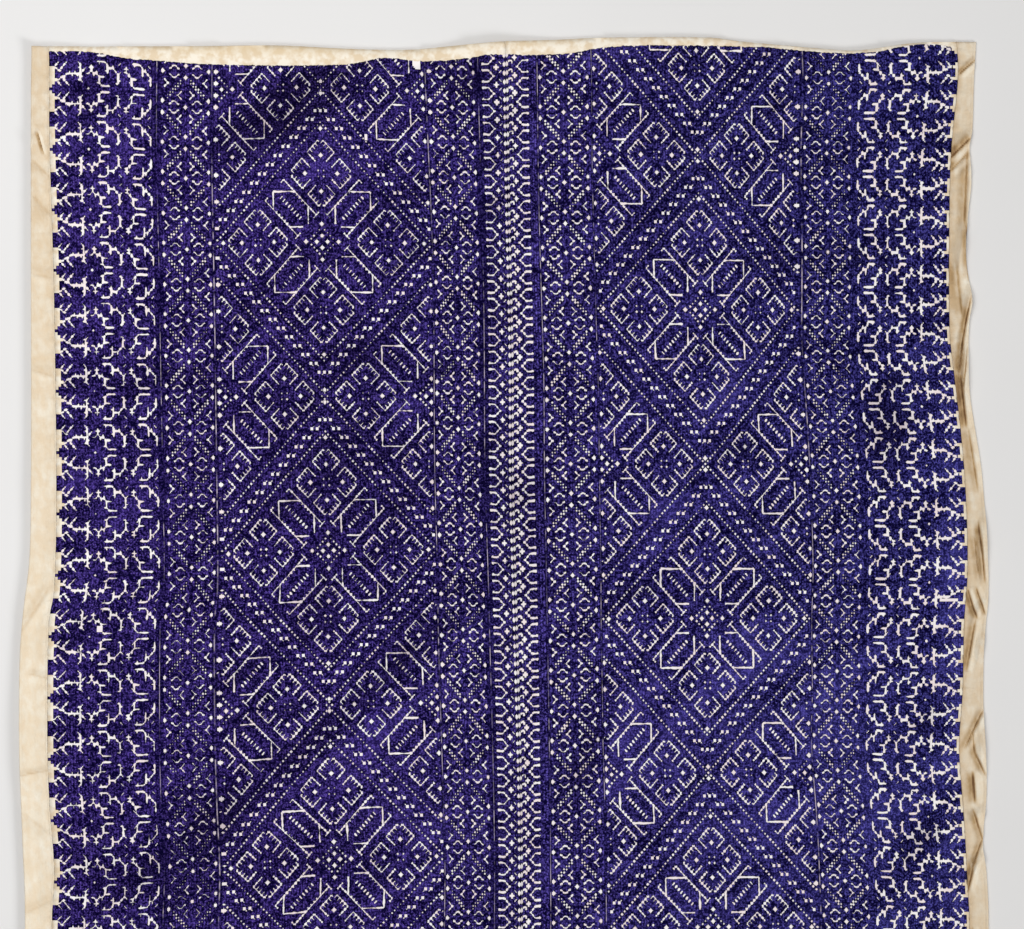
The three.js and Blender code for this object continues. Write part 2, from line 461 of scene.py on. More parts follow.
left_seam = line(LEFT_SEAM)
middle_seam = line(MIDDLE_SEAM)
right_seam = line(RIGHT_SEAM)
left_edge = line(LEFT_EDGE)
right_edge = line(RIGHT_EDGE)


# Height of the underside of the cloth over the surface that it lies on
def cloth_rise(across, down):
    seam = SEAM_RISE * bump(across - middle_seam(down), SEAM_REACH)
    hem = soft_patches(HEM_FOLDS, "rise", across, down)
    return soft_patches(CLOTH_FOLDS, "rise", across, down) + seam + hem


# The panel is centred over the origin, as the frame has it, and measured every half millimetre or so
PLACES_DOWN = 1901
PLACES_ACROSS = 967


def centre_of_panel():
    down = np.linspace(0, PANEL_LENGTH, PLACES_DOWN)
    across = (left_edge(down).min() + right_edge(down).max()) / 2
    widths = np.linspace(left_edge(0), right_edge(0), PLACES_ACROSS)
    highest = inset(TOP_EDGE, widths).min()
    lowest = PANEL_LENGTH - inset(BOTTOM_EDGE, widths).min()
    return across, (highest + lowest) / 2


CENTRE_ACROSS, CENTRE_DOWN = centre_of_panel()


# From the millimetres of the tables to the metres of the frame
def to_frame(across, down, height):
    x = (across - CENTRE_ACROSS) * MM
    y = (CENTRE_DOWN - down) * MM
    return np.stack([x, y, height * MM], axis=-1)


# Arms of a stitch cell, as bits: from the middle of the cell to its sides and corners
WAYS = ((1, 0), (1, -1), (0, -1), (-1, -1), (-1, 0), (-1, 1), (0, 1), (1, 1))
ARMS = {way: 2 ** bit for bit, way in enumerate(WAYS)}
# An arm that narrows to a point, or a dot where it is alone, and the cells that aren't drawn by arms
TAPER = 256
BARE = 511
THREAD = 510
CORD = 509
GROOVE = 508
GROUND = 507
SIDES = ((1, 0), (0, -1), (-1, 0), (0, 1))
QUARTERS = ((1, 1), (-1, 1), (1, -1), (-1, -1))


def count_arms(codes):
    return sum((codes >> bit) & 1 for bit in range(len(WAYS)))


class Band:
    """A band of the pattern, charted once and repeated down the cloth."""

    def __init__(self, columns, period, middle=0):
        self.cells = np.zeros((period, columns), int)
        self.columns = columns
        self.period = period
        self.middle = middle

    def inside(self, column, row):
        place = column + self.middle
        return (row % self.period, place) if 0 <= place < self.columns else None

    def add(self, column, row, code):
        cell = self.inside(column, row)
        if cell is not None and self.cells[cell] < GROUND:
            self.cells[cell] |= code

    def add_if_plain(self, column, row, code):
        cell = self.inside(column, row)
        if cell is not None and self.cells[cell] == 0:
            self.cells[cell] = code

    def bare(self, column, row):
        cell = self.inside(column, row)
        if cell is not None:
            self.cells[cell] = BARE

    def stroke(self, *points):
        for start, end in zip(points, points[1:]):
            across = end[0] - start[0]
            down = end[1] - start[1]
            count = max(abs(across), abs(down))
            at = start
            for step in range(1, count + 1):
                column = start[0] + math.floor(across * step / count + 0.5)
                row = start[1] + math.floor(down * step / count + 0.5)
                way = (column - at[0], row - at[1])
                self.add(at[0], at[1], ARMS[way])
                self.add(column, row, ARMS[(-way[0], -way[1])])
                at = (column, row)

    def tooth(self, column, row, way):
        self.add(column, row, ARMS[way])

    def meet(self, column, row, way, taper=TAPER):
        self.add_if_plain(column + way[0], row + way[1], ARMS[(-way[0], -way[1])] | taper)

    def long_tooth(self, column, row, way):
        self.add(column, row, ARMS[way])
        self.meet(column, row, way)

    def grain(self, column, row, way):
        self.bare(column, row)
        self.meet(column, row, way)

    def star(self, column, row, taper=TAPER):
        self.bare(column, row)
        for way in SIDES:
            self.meet(column, row, way, taper)

    def point_free_ends(self):
        arms = count_arms(self.cells)
        self.cells[(arms == 1) & (self.cells < TAPER)] |= TAPER

    def dot(self, column, row):
        self.add_if_plain(column, row, TAPER)

    def dash(self, column, row, way):
        self.add_if_plain(column, row, ARMS[way] | ARMS[(-way[0], -way[1])])


# Narrow band: lozenges of four small flowers, with hatched diagonals between them
NARROW_HALF = 9
NARROW_ROWS = 12


# One lozenge, with the points of its upper and lower flowers some columns beside the middle
def narrow_lozenge(band, across, down, beside=3):
    band.star(across, down)
    band.star(across, down - 10)
    band.star(across, down + 10)
    for h, v in QUARTERS:
        def at(column, row):
            return across + h * column, down + v * row

        band.stroke(at(beside - 1, 5), at(beside, 4), at(beside - 1, 3))
        band.tooth(*at(beside - 1, 5), (-h, v))
        band.tooth(*at(beside - 1, 3), (-h, -v))
        band.tooth(*at(beside, 4), (h, 0))
        band.stroke(at(6, 1), at(5, 2), at(4, 2), at(3, 1))
        band.tooth(*at(6, 1), (h, 0))
        band.tooth(*at(3, 1), (-h, 0))
        for step in range(6):
            band.dot(*at(2 + step, 8 - step))


def narrow_band():
    band = Band(2 * NARROW_HALF + 1, 2 * NARROW_ROWS, NARROW_HALF)
    narrow_lozenge(band, 0, 0)
    narrow_lozenge(band, -NARROW_HALF, NARROW_ROWS, 2)
    narrow_lozenge(band, NARROW_HALF, NARROW_ROWS, 2)
    return band


# Main band: eight-pointed stars of ovals and boxes inside a trellis of grains
def flower_box(band, across, down, out):
    side = (-out[1], out[0])

    def at(forward, aside):
        return (
            across + out[0] * forward + side[0] * aside,
            down + out[1] * forward + side[1] * aside,
        )

    for half in (1, -1):
        band.stroke(at(4, half), at(0, 5 * half), at(-3, 2 * half))
        for forward in (1, 2, 3, 4):
            start = at(forward, (5 - forward) * half)
            inward = at(forward - 1, (4 - forward) * half)
            band.long_tooth(*start, (inward[0] - start[0], inward[1] - start[1]))
    band.star(*at(-1, 0))


def star_centre(band, across, down):
    for way in SIDES:
        band.star(across + 2 * way[0], down + 2 * way[1])
        band.star(across + 6 * way[0], down + 6 * way[1])
    for h, v in QUARTERS:
        for step in range(1, 5):
            band.dot(across + h * step, down + v * (5 - step))


# The two long sides of an oval, which run past it at both ends, and its four short sides
OVAL_STROKES = (
    ((9, 2), (21, 14), (20, 15)),
    ((2, 9), (14, 21), (15, 20)),
    ((8, 3), (9, 2), (10, 1)),
    ((1, 10), (2, 9), (3, 8)),
    ((7, 5), (12, 5)),
    ((5, 6), (5, 12)),
    ((18, 11), (18, 17)),
    ((10, 17), (18, 17)),
)


def star_ovals(band, across, down):
    for h, v in QUARTERS:
        def at(column, row):
            return across + h * column, down + v * row

        for points in OVAL_STROKES:
            band.stroke(*(at(*point) for point in points))
        # Teeth on the inner side of the long sides, and the rib
        for step in range(13, 18):
            band.tooth(*at(step, step - 7), (-h, v))
            band.tooth(*at(step - 7, step), (h, -v))
        for step in range(8, 16):
            band.dash(*at(step, step), (h, -v))


FLOWER_COLUMNS = 24
FLOWER_ROWS = 23
BOX_STEPS = 7


def star_flowers(band, across, down):
    for way in SIDES:
        group = (across + FLOWER_COLUMNS * way[0], down + FLOWER_ROWS * way[1])
        for out in SIDES:
            flower_box(band, group[0] + BOX_STEPS * out[0], group[1] + BOX_STEPS * out[1], out)
        for h, v in QUARTERS:
            band.dot(group[0] + h, group[1] + v)


# Dotted line round a star, one dot a step
FRAME_STEPS = 40


def star_outline(band, across, down):
    for h, v in QUARTERS:
        for column in range(FRAME_STEPS + 1):
            band.dot(across + h * column, down + v * (FRAME_STEPS - column))
    for v in (1, -1):
        band.star(across, down + v * (FRAME_STEPS - 2))


# Two staggered rows of grains along the middle of the frame
def star_frame(band, half_columns, half_rows):
    first = (half_columns + half_rows - 3) // 2
    for h, v in QUARTERS:
        for column in range(half_columns + 1):
            if column % 3 == 0:
                band.grain(h * column, v * (first - column), (-h, v))
            if column % 3 == 2:
                band.grain(h * column, v * (first + 2 - column), (-h, v))
    for v in (1, -1):
        band.star(0, v * (half_rows - 2))
    for h in (1, -1):
        band.star(h * (half_columns - 2), 0)


def main_band(half_columns, half_rows):
    band = Band(2 * half_columns + 1, 2 * half_rows, half_columns)
    middles = ((0, 0), (-half_columns, half_rows), (half_columns, half_rows))
    for across, down in middles:
        star_flowers(band, across, down)
        star_ovals(band, across, down)
        star_centre(band, across, down)
        star_outline(band, across, down)
    star_frame(band, half_columns, half_rows)
    return band


# Middle band: arches that face the seam, with a small star between two of them
ARCH_ROWS = 6
SEAM_MARK_ROWS = (2, 5)


def arch_band(columns, tip_row, outward):
    band = Band(columns, ARCH_ROWS)

    def at(from_seam, row):
        return (from_seam if outward > 0 else columns - 1 - from_seam), row + tip_row

    # Short strokes on the left width, pointed at their free ends
    if outward < 0:
        band.stroke(at(2, 1), at(1, 2))
        band.stroke(at(2, 5), at(1, 4))
    band.point_free_ends()
    # Marks across the seam where the two widths meet, each with a hook on the right width
    for row in SEAM_MARK_ROWS:
        band.bare(*at(0, row))
        if outward > 0:
            band.stroke(at(1, row - 1), at(2, row - 1), at(2, row))
            band.tooth(*at(1, row - 1), (-1, 1))
        for v in (1, -1):
            band.meet(*at(0, row), (0, v))
    # Arches, and a star between two of them
    band.stroke(at(8, -2), at(6, -2), at(4, 0), at(6, 2), at(8, 2))
    band.tooth(*at(4, 0), (-outward, 0))
    for v in (1, -1):
        band.tooth(*at(8, 2 * v), (outward, 0))
        band.tooth(*at(8, 2 * v), (0, -v))
    band.star(*at(3, 3), 0)
    return band


# Tree border: rows of trees that stand out from the solid band, in strokes of bare cloth between the leaves
TREE_ROWS = 20
TREE_COLUMNS = 38
TREE_STROKES = (
    ((7, 1), (4, 1), (3, 3), (2, 3), (0, 5), (0, 8)),
    ((3, 3), (3, 5)),
    ((1, 1), (0, 2)),
    ((12, 2), (11, 1)),
    ((2, 9), (6, 9), (7, 8), (7, 6), (9, 4), (9, 2)),
    ((7, 6), (5, 6)),
    ((20, 1), (17, 1), (16, 3), (14, 3), (12, 5), (12, 8)),
    ((16, 3), (16, 5)),
    ((15, 9), (18, 9), (19, 8), (19, 6), (22, 4), (22, 2)),
    ((19, 6), (17, 6)),
    ((22, 4), (23, 5), (24, 5)),
    ((33, 9), (35, 7), (34, 7), (33, 6), (32, 6), (31, 5), (26, 5), (24, 3)),
    ((26, 5), (26, 2), (27, 1)),
    ((26, 5), (26, 7), (25, 8)),
    ((36, 3), (35, 3), (34, 4), (33, 4)),
    ((36, 3), (34, 1)),
    ((34, 4), (31, 1)),
    ((33, 6), (30, 9)),
)
TREE_TEETH = table(
    "column row way",
    (32, 6, (0, 1)),
    (30, 5, (0, -1)),
    (29, 5, (0, 1)),
    (28, 5, (0, -1)),
    (27, 5, (0, 1)),
    (25, 4, (1, 0)),
    (26, 3, (1, 0)),
    (26, 6, (-1, 0)),
    (26, 7, (1, 0)),
    (22, 3, (1, 0)),
    (22, 3, (-1, 0)),
    (21, 5, (0, 1)),
    (20, 5, (0, -1)),
    (19, 8, (1, 0)),
    (19, 1, (0, 1)),
    (16, 4, (1, 0)),
    (14, 3, (0, -1)),
    (12, 5, (-1, -1)),
    (12, 7, (-1, 0)),
    (12, 8, (1, 0)),
    (9, 3, (1, 0)),
    (9, 3, (-1, 0)),
    (9, 4, (1, 0)),
    (8, 5, (0, -1)),
    (7, 8, (1, -1)),
    (6, 1, (0, 1)),
    (2, 3, (0, -1)),
    (0, 6, (1, 0)),
)
# Columns of silk on each row, from the middle row of a tree outwards: past them lies the bare ground
LEFT_REACH = (38, 38, 38, 36, 36, 36, 36, 35, 36, 37, 38)
RIGHT_REACH = (38, 38, 38, 36, 37, 37, 37, 36, 37, 38, 38)


def tree_band(outward, reaches):
    band = Band(TREE_COLUMNS, TREE_ROWS)

    def place(column):
        return column if outward > 0 else TREE_COLUMNS - 1 - column

    for row, reach in enumerate(reaches):
        for column in range(reach, TREE_COLUMNS):
            for v in (1, -1):
                band.add_if_plain(place(column), v * row, GROUND)
    for v in (1, -1):
        for points in TREE_STROKES:
            band.stroke(*((place(column), v * row) for column, row in points))
        for tooth in TREE_TEETH:
            across, down = tooth["way"]
            band.long_tooth(place(tooth["column"]), v * tooth["row"], (outward * across, v * down))
    band.dot(place(23), 10)
    band.point_free_ends()
    return band


# Upright lines between the bands: ridges of silk, grooves darkened with painted shade, or a worn thread in a
# groove
def upright_line(*codes):
    band = Band(len(codes), 1)
    for column, code in enumerate(codes):
        band.add(column, 0, code)
    return band


# The chart of one width: bands side by side, each with its first column and the chart row of its own row 0
def chart(steps, bands):
    rows = np.arange(FIRST_ROW, LAST_ROW)
    codes = np.zeros((len(rows), steps), int)
    for first, row, band in bands:
        codes[:, first:first + band.columns] = band.cells[(rows - row) % band.period]
    return codes


LEFT_STEPS = 172
RIGHT_STEPS = 176


def left_chart():
    return chart(LEFT_STEPS, (
        (0, 10, tree_band(-1, LEFT_REACH)),
        (38, 0, upright_line(GROOVE, THREAD, GROOVE)),
        (41, 0, narrow_band()),
        (60, 0, upright_line(THREAD)),
        (61, -50, main_band(39, 52)),
        (140, 0, upright_line(THREAD)),
        (141, -1, narrow_band()),
        (160, 0, upright_line(GROOVE, THREAD, GROOVE)),
        (163, 0, arch_band(9, 0, -1)),
    ))


def right_chart():
    return chart(RIGHT_STEPS, (
        (0, 0, arch_band(10, 3, 1)),
        (10, 0, upright_line(CORD, CORD, THREAD)),
        (13, 1, narrow_band()),
        (32, 0, upright_line(CORD, THREAD)),
        (34, -28, main_band(40, 53)),
        (115, 0, upright_line(THREAD)),
        (116, 0, narrow_band()),
        (138, 15, tree_band(1, RIGHT_REACH)),
    ))


# Painted light of the silk: pale patches of painted sheen, and dark patches of painted shade where it folds,
# with one real stain at the top left
SILK_SHEEN_SHADE_STAINS = table(
    "across down reach breadth turn tone",
    (-110, 36.5, 79, 20, 29, -1.1),
    (-94, 63, 72, 22, 17, 0.35),
    (-20, 17, 20, 25, 0, -1),
    (-8.6, 140, 204, 9, 90, -0.5),
    (-74, 331, 122, 14, 41, -0.8),
    (-62, 345, 96, 19, 41, 0.4),
    (-143, 390, 31, 29, 70, -1.1),
    (-92, 412, 43, 16, 4, -0.6),
    (-186, 420, 29, 22, 20, -0.6),
    (190, 191, 40, 20, 88, -1.1),
    (40, 360, 55, 14, 72, -1.1),
    (59, 354, 60, 17, 74, 0.5),
    (150, 365, 170, 150, 0, 0.5),
    (140, 290, 36, 30, 0, 0.25),
    (110, 325, 40, 26, 30, 0.15),
    (166, 338, 36, 34, 0, 0.2),
    (135, 392, 44, 22, 20, 0.2),
    (-35, 378, 70, 60, 30, 0.4),
    (-78, 215, 95, 120, 0, -0.35),
    (-200, 110, 60, 120, 0, 0.25),
    (213, 341, 22, 19, 60, -1.1),
    (211, 398, 34, 12, 35, -1.3),
    (130, 281, 29, 13, 20, -0.5),
    (10, 228, 26, 22, 10, -0.7),
    (100, 180, 31, 29, 0, 0.5),
    (228, 300, 204, 22, 90, 0.7),
    (-205, 67, 43, 32, 0, 0.1),
    (-183, 228, 67, 13, -2, 0.35),
    (-188, 172, 65, 10, 2, -0.7),
    (-65, 161, 38, 16, -8, -0.5),
    (-95, 288, 24, 20, 30, -0.6),
    (-50, 90, 29, 22, 0, -0.4),
    (104, 95, 48, 10, 33, 0.4),
    (179, 37, 38, 10, 30, 0.6),
    (66, 168, 29, 12, 75, 0.5),
    (119, 206, 20, 17, 0, -0.7),
    (140, 108, 34, 13, 50, -0.5),
    (-50, 183, 26, 12, 80, 0.6),
    (78, 243, 36, 12, 45, 0.6),
    (85, 277, 67, 12, 2, -0.6),
    (-207, 27, 18, 14, 0, -0.7),
    (-70, 545, 114, 17, 32, -0.8),
    (-58, 562, 96, 20, 32, 0.5),
    (120, 560, 108, 102, 0, 0.4),
    (165, 640, 60, 14, 66, -0.9),
    (-160, 650, 53, 19, 14, -0.6),
    (60, 715, 96, 17, 40, 0.6),
    (-90, 745, 84, 17, -24, -0.7),
    (190, 800, 48, 17, 80, -0.8),
    (-30, 850, 108, 20, 28, -0.6),
    (110, 870, 84, 44, 10, 0.5),
)


# Where strokes are worn wide and bright, or sunk in the groove of the middle seam
STROKE_WEAR = table(
    "across down reach breadth turn wear",
    (1.5, 68, 34, 8, 90, -0.18),
    (3.5, 210, 70, 10, 90, 0.03),
    (6, 310, 60, 10, 90, 0.02),
    (8, 399, 30, 7, 90, -0.06),
    (6.5, 590, 70, 9, 90, 0.12),
    (7, 770, 50, 7, 90, -0.1),
    (137, 278.5, 7, 4, -45, 0.4),
    (145.6, 287.5, 6, 4, -45, 0.4),
)

# How wide the strokes are worked from one column to another, in the upper part of the panel and lower down
WEAR_PLACES = (80, 400)
LEFT_BAND_WEAR = table(
    "first last high low",
    (0, 38, 0.01, -0.09),
    (41, 60, -0.12, -0.23),
    (61, 140, -0.13, -0.08),
    (141, 160, -0.1, -0.11),
    (162, 172, -0.07, -0.03),
)
RIGHT_BAND_WEAR = table(
    "first last high low",
    (0, 10, 0, 0.03),
    (12, 32, -0.08, -0.08),
    (34, 115, -0.08, -0.03),
    (116, 136, -0.17, -0.09),
    (138, 176, 0.08, 0.06),
)
END_WEAR = -0.08
JOINT_WEAR = 0.05


@dataclass
class Width:
    """One width of cloth on its stitch grid."""

    name: str
    left: object
    right: object
    steps: int
    band_lines: list
    row_lines: list
    band_wear: list
    tree_first: int
    codes: np.ndarray

    # Share of the width to the left of a stitch column, at places down the panel
    def share(self, column, down):
        places = np.array(list(BAND_PLACES.values()), float)
        left = self.left(places)
        span = self.right(places) - left
        steps = [0.0] + [row["step"] for row in self.band_lines] + [float(self.steps)]
        shares = [np.zeros(len(places))]
        for row in self.band_lines:
            across = np.array([row[name] for name in BAND_PLACES], float)
            shares.append((across - left) / span)
        shares.append(np.ones(len(places)))
        at_places = [np.interp(column, steps, column_shares) for column_shares in zip(*shares)]
        return table_value(table("down share", *zip(places, at_places)), "down", "share", down)

    def across(self, column, down):
        left = self.left(down)
        return left + self.share(column, down) * (self.right(down) - left)

    def row_sizes(self, column):
        return [table_value(self.row_lines, "step", name, column) for name in ("level", "above", "below")]

    def down(self, column, row):
        level, above, below = self.row_sizes(column)
        offset = row - 0.5
        return level + np.where(offset < 0, above, below) * offset

    def row(self, column, down):
        level, above, below = self.row_sizes(column)
        return (down - level) / np.where(down < level, above, below) + 0.5

    def ends(self, column):
        top = inset(TOP_EDGE, self.across(column, 0))
        return top, PANEL_LENGTH - inset(BOTTOM_EDGE, self.across(column, PANEL_LENGTH))


def new_object(name, points, faces):
    mesh = bpy.data.meshes.new(name)
    mesh.from_pydata([tuple(point) for point in points], [], [tuple(face) for face in faces])
    mesh.validate()
    piece = bpy.data.objects.new(name, mesh)
    bpy.context.scene.collection.objects.link(piece)
    return piece


# Closed sheet: its upper faces, the same faces turned over below them, and side walls all round
def closed_sheet(name, top_points, low_points, top_faces):
    under = len(top_points)
    faces = []
    edges = {}
    for face in top_faces:
        faces.append(face)
        faces.append([vertex + under for vertex in reversed(face)])
        for start, end in zip(face, face[1:] + face[:1]):
            edges[(start, end)] = [end, start, start + under, end + under]
    faces += [wall for (start, end), wall in edges.items() if (end, start) not in edges]
    points = np.concatenate([top_points, low_points])
    used = np.zeros(len(points), bool)
    for face in faces:
        used[face] = True
    renumber = np.cumsum(used) - 1
    faces = [[int(renumber[vertex]) for vertex in face] for face in faces]
    return new_object(name, points[used], faces), used


def add_values(mesh, name, domain, values):
    attribute = mesh.attributes.new(name, "FLOAT", domain)
    attribute.data.foreach_set("value", list(values))


def smooth(mesh, steep):
    for polygon in mesh.polygons:
        polygon.use_smooth = abs(polygon.normal.z) >= steep


# The chart of a width, bare inside the worn patches
def worn_cells(width):
    codes = width.codes.copy()
    rows = np.arange(FIRST_ROW, LAST_ROW) + 0.5
    for column in range(width.steps):
        down = width.down(column + 0.5, rows)
        across = width.across(column + 0.5, down)
        for patch in WORN_PATCHES:
            wide = (across - patch["across"]) / patch["wide"] * 2
            high = (down - patch["down"]) / patch["high"] * 2
            codes[wide * wide + high * high < 1, column] = BARE
    return codes


# Change of the strokes' width: by band, narrow at the free ends in the trees and broad where strokes meet
def stroke_wear(width, codes, columns, down):
    wear = np.zeros(down.shape)
    for row in width.band_wear:
        inside = (columns >= row["first"]) & (columns <= row["last"])
        wear[:, inside] = np.interp(down[:, inside], WEAR_PLACES, (row["high"], row["low"]))
    arms = count_arms(codes)
    change = np.where(arms == 1, END_WEAR, 0) + np.where(arms > 2, JOINT_WEAR, 0)
    change[codes >= GROUND] = 0
    place = np.arange(width.steps) - width.tree_first
    change[:, (place < 0) | (place >= TREE_COLUMNS)] = 0
    padded = np.pad(change, 1)
    total = padded[:-1, :-1] + padded[1:, :-1] + padded[:-1, 1:] + padded[1:, 1:]
    return wear + np.clip(total[::CELLS, ::CELLS], 2 * END_WEAR, 2 * JOINT_WEAR)


# How far the silk reaches past each place, in millimetres: negative on the bare hems
def silk_depth(across, down):
    first = table_value(SILK_TOP, "across", "down", across)
    last = PANEL_LENGTH - inset(BOTTOM_EDGE, across) - BOTTOM_BARE
    return np.minimum(down - first, last - down)


# Where the vertices lie, and the true row of each in the chart where the edge of the cloth holds it back
def cloth_grid(width):
    columns = np.arange(0, width.steps + 1, CELLS)
    rows = np.arange(FIRST_ROW, LAST_ROW + 1, CELLS)
    across, down, true_row = np.zeros((3, len(rows), len(columns)))
    for index, column in enumerate(columns.astype(float)):
        top, bottom = width.ends(column)
        down[:, index] = np.clip(width.down(column, rows.astype(float)), top, bottom)
        true_row[:, index] = width.row(column, down[:, index])
        across[:, index] = width.across(column, down[:, index])
    return columns, rows, across, down, true_row


# Numbers of the vertices: those that the edge of the cloth holds back are one with the next along their line
def joined_vertices(down):
    numbers = np.arange(down.size).reshape(down.shape)
    count = len(down)
    for order, step in ((range(count - 2, -1, -1), 1), (range(1, count), -1)):
        for row in order:
            same = np.abs(down[row] - down[row + step]) < SAME_PLACE
            numbers[row, same] = numbers[row + step, same]
    return numbers


# Upper faces, each with its row and column and the places of its corners in its block of cells
def cell_faces(numbers, rows, true_row):
    cells = []
    for row in range(numbers.shape[0] - 1):
        for column in range(numbers.shape[1] - 1):
            corners = {}
            for r, c in ((row, column), (row + 1, column), (row + 1, column + 1), (row, column + 1)):
                place = (float(CELLS * (c - column)), float(true_row[r, c] - rows[row]))
                corners.setdefault(int(numbers[r, c]), place)
            if len(corners) > 2:
                cells.append((row, column, corners))
    return cells


# The places of the corners become the map Stitch, and the codes of a block one number for each of its rows
def add_stitches(mesh, cells, codes):
    places = []
    pairs = []
    for row, column, corners in cells:
        around = list(corners.values())
        places += around + around[::-1]
        block = codes[CELLS * row:CELLS * (row + 1), CELLS * column:CELLS * (column + 1)]
        pairs += [block[:, 0] + CODE_STEP * block[:, 1]] * 2
    walls = len(mesh.polygons) - len(pairs)
    places += [(0.5, 0.5)] * 4 * walls
    pairs += [(0, 0)] * walls
    layer = mesh.uv_layers.new(name="Stitch")
    layer.data.foreach_set("uv", [value for place in places for value in place])
    for name, values in zip(("CellsA", "CellsB"), zip(*pairs)):
        add_values(mesh, name, "FACE", [float(value) for value in values])


def width_piece(width):
    columns, rows, across, down, true_row = cloth_grid(width)
    codes = worn_cells(width)
    base = cloth_rise(across, down)
    to_end = np.minimum(down - down[0], down[-1] - down)
    thickness = np.where(to_end < HEM_DEPTH, CLOTH_THICKNESS + HEM_EXTRA, CLOTH_THICKNESS)
    thickness = np.where(to_end < EDGE_ROUND, CLOTH_THICKNESS - HEM_EXTRA, thickness)
    top_points = to_frame(across, down, base + thickness).reshape(-1, 3)
    low_points = to_frame(across, down, base).reshape(-1, 3)
    cells = cell_faces(joined_vertices(down), rows, true_row)
    top_faces = [list(corners) for row, column, corners in cells]
    piece, used = closed_sheet(width.name, top_points, low_points, top_faces)
    add_stitches(piece.data, cells, codes)
    # Painted sheen and shade of the folds, with one stain, then the width of the strokes and the reach of the
    # silk
    values = dict(
        Tone=soft_patches(SILK_SHEEN_SHADE_STAINS, "tone", across, down),
        Wear=soft_patches(STROKE_WEAR, "wear", across, down) + stroke_wear(width, codes, columns, down),
        Silk=silk_depth(across, down),
    )
    for name, value in values.items():
        add_values(piece.data, name, "POINT", np.tile(value.reshape(-1), 2)[used])
    smooth(piece.data, STEEP)
    return piece


# Height of a rounded edge below its full height, by the distance from the edge
EDGE_RADIUS = 0.6
EDGE_FULLNESS = 0.9


def rounded_drop(distance):
    t = np.clip(1 - distance / EDGE_RADIUS, 0, 1)
    return EDGE_RADIUS * (1 - np.sqrt(1 - EDGE_FULLNESS * t * t))


# Shares of a strip's breadth where its lengthwise lines of vertices lie, closer together at its sides
STRIP_COLUMNS = 26
STRIP_ROWS = 1200
EVEN = np.linspace(0, 1, STRIP_COLUMNS + 1)
STRIP_SHARES = 0.5 * EVEN + 0.25 * (1 - np.cos(math.pi * EVEN))


# A crease, in half breadths from its middle: raised sides, a painted dark line of shade, and the painted
# shade and painted highlight of the lit ridge beside it
SIDE_RISE = 0.6
SIDE_REACH = 3
LINE_REACH = 0.8
SHADE_PLACE = 1.2
SHADE_REACH = 2.2
LIT_PLACE = -2
LIT_REACH = 1.6
# How far a crease fades out past its ends, the way to the light, and how strong its painted dark line,
# painted shade and painted highlight on the ridge are
CREASE_FADE = 2
LIGHT_ACROSS = 0.8
LIGHT_DOWN = 0.6
LINE_SHADE = 1.6
SOFT_SHADE = 0.85
LIT_SHADE = 0.7


# Height and painted tan shade that the creases add: raised sides, a groove between them, painted shade away
# from the light and a painted highlight on the ridge towards it
def creased(creases, across, down):
    height, shade, lit = np.zeros((3,) + across.shape)
    for crease in creases:
        run = crease["to_across"] - crease["across"]
        fall = crease["to_down"] - crease["down"]
        breadth = crease["breadth"]
        length = math.hypot(run, fall)
        dx = across - crease["across"] - run / 2
        dy = down - crease["down"] - fall / 2
        along = np.abs(dx * run + dy * fall) / length
        fade = 1 - np.minimum(along / (length / 2 + CREASE_FADE), 1) ** 4
        side = -1 if fall * LIGHT_ACROSS > run * LIGHT_DOWN else 1
        aside = side * (dx * fall - dy * run) / length / breadth
        height += fade * crease["depth"] * (SIDE_RISE * bump(aside, SIDE_REACH) - bump(aside, 1))
        # Painted shade in the crease and beside it, and a painted highlight on the ridge
        painted_line_shade = LINE_SHADE * bump(aside, LINE_REACH)
        soft = SOFT_SHADE * bump(aside - SHADE_PLACE, SHADE_REACH)
        ridge = LIT_SHADE * bump(aside - LIT_PLACE, LIT_REACH)
        shade = np.maximum(shade, fade * crease["shade"] * np.maximum(painted_line_shade, soft))
        lit = np.maximum(lit, fade * crease["shade"] * ridge)
    return height, shade - lit


# Narrow strip of plain cotton between two lines
def strip_piece(name, left, right, rise):
    length, share = np.meshgrid(np.linspace(0, 1, STRIP_ROWS + 1), STRIP_SHARES, indexing="ij")

    def across_at(down):
        return left(down) + share * (right(down) - left(down))

    top = inset(TOP_EDGE, across_at(0))
    bottom = PANEL_LENGTH - inset(BOTTOM_EDGE, across_at(PANEL_LENGTH))
    down = top + (bottom - top) * length
    across = across_at(down)
    base, surface, shade = rise(across, down)
    to_side = np.minimum(share, 1 - share) * (right(down) - left(down))
    to_end = np.minimum(down - top, bottom - down)
    drop = np.maximum(rounded_drop(to_side), rounded_drop(to_end))
    top_points = to_frame(across, down, base + surface + EDGING_THICKNESS - drop).reshape(-1, 3)
    low_points = to_frame(across, down, base).reshape(-1, 3)
    stride = STRIP_COLUMNS + 1
    corners = [row * stride + column for row in range(STRIP_ROWS) for column in range(STRIP_COLUMNS)]
    top_faces = [[a, a + stride, a + stride + 1, a + 1] for a in corners]
    piece = closed_sheet(name, top_points, low_points, top_faces)[0]
    add_values(piece.data, "Shade", "POINT", np.tile(shade.reshape(-1), 2))
    smooth(piece.data, 0)
    return piece


def linear(value):
    value = value / 255
    return value / 12.92 if value <= 0.04045 else ((value + 0.055) / 1.055) ** 2.4


def colour(red, green, blue):
    return linear(red), linear(green), linear(blue), 1.0


